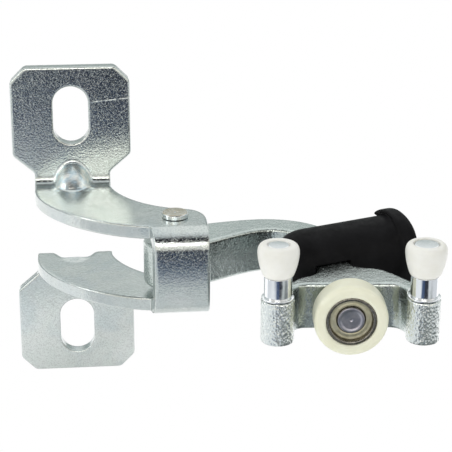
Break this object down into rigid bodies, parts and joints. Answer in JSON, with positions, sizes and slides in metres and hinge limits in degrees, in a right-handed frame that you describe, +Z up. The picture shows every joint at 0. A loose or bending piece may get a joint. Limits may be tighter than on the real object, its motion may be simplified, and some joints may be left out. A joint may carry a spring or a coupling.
{
  "type": "sliding door roller",
  "caption": "Sliding door hinge roller: a bent steel door bracket, a forged arm swinging on a riveted pin, and a carriage with a bearing roller, barrel guide rollers and a rubber buffer.",
  "frame": {"origin": "on the door's mounting plane (the back of the bracket's two flanges), midway between the two slots", "axes": "+X to the right along the door, +Z up along the hinge pin, -Y out of the door towards the rollers"},
  "size_m": [0.1878, 0.1463, 0.161],
  "materials": {
    "bracket_zinc": "bright zinc plate",
    "forging_zinc": "zinc plate over a forged surface",
    "pin_steel": "turned and zinc plated",
    "bush_bronze": "machined",
    "bearing_steel": "ground",
    "shield_steel": "pressed sheet",
    "cage_nylon": "moulded",
    "guide_nylon": "moulded white nylon",
    "tyre_nylon": "moulded cream nylon",
    "buffer_rubber": "moulded black rubber"
  },
  "bodies": {
    "bracket": {"door_bracket": "bracket_zinc", "hinge_pin": "pin_steel", "upper_thrust_washer": "pin_steel", "lower_thrust_washer": "pin_steel"},
    "arm": {"roller_arm": "forging_zinc", "upper_hinge_bush": "bush_bronze", "lower_hinge_bush": "bush_bronze", "rubber_buffer": "buffer_rubber", "guide_pin_left": "pin_steel", "guide_pin_right": "pin_steel", "roller_axle": "pin_steel", "bearing_inner_ring": "bearing_steel"},
    "guide_roller_left_body": {"guide_roller_left": "guide_nylon"},
    "guide_roller_right_body": {"guide_roller_right": "guide_nylon"},
    "bearing_cage_body": {"bearing_cage": "cage_nylon", "bearing_ball_1": "bearing_steel", "bearing_ball_2": "bearing_steel", "bearing_ball_3": "bearing_steel", "bearing_ball_4": "bearing_steel", "bearing_ball_5": "bearing_steel", "bearing_ball_6": "bearing_steel", "bearing_ball_7": "bearing_steel"},
    "main_roller": {"roller_tyre": "tyre_nylon", "bearing_outer_ring": "bearing_steel", "bearing_shield_front": "shield_steel", "bearing_shield_rear": "shield_steel"}
  },
  "joints": [
    {"name": "arm_swing", "type": "hinge", "parent": "bracket", "child": "arm", "pos_m": [0.0473, -0.06, 0], "axis": [0, 0, 1], "range_deg": [-35, 35]},
    {"name": "guide_roller_left_spin", "type": "hinge", "parent": "arm", "child": "guide_roller_left_body", "pos_m": [0.08656, -0.13248, 0], "axis": [0, 0, 1], "continuous": true},
    {"name": "guide_roller_right_spin", "type": "hinge", "parent": "arm", "child": "guide_roller_right_body", "pos_m": [0.14957, -0.13732, 0], "axis": [0, 0, 1], "continuous": true},
    {"name": "main_roller_spin", "type": "hinge", "parent": "arm", "child": "main_roller", "pos_m": [0.11806, -0.1349, 0], "axis": [0.0767, 0.9971, 0], "continuous": true},
    {"name": "bearing_cage_spin", "type": "hinge", "parent": "arm", "child": "bearing_cage_body", "pos_m": [0.11806, -0.1349, 0], "axis": [0.0767, 0.9971, 0], "continuous": true}
  ],
  "couplings": [
    {"joint": "bearing_cage_spin", "follows": "main_roller_spin", "ratio": 0.63}
  ]
}
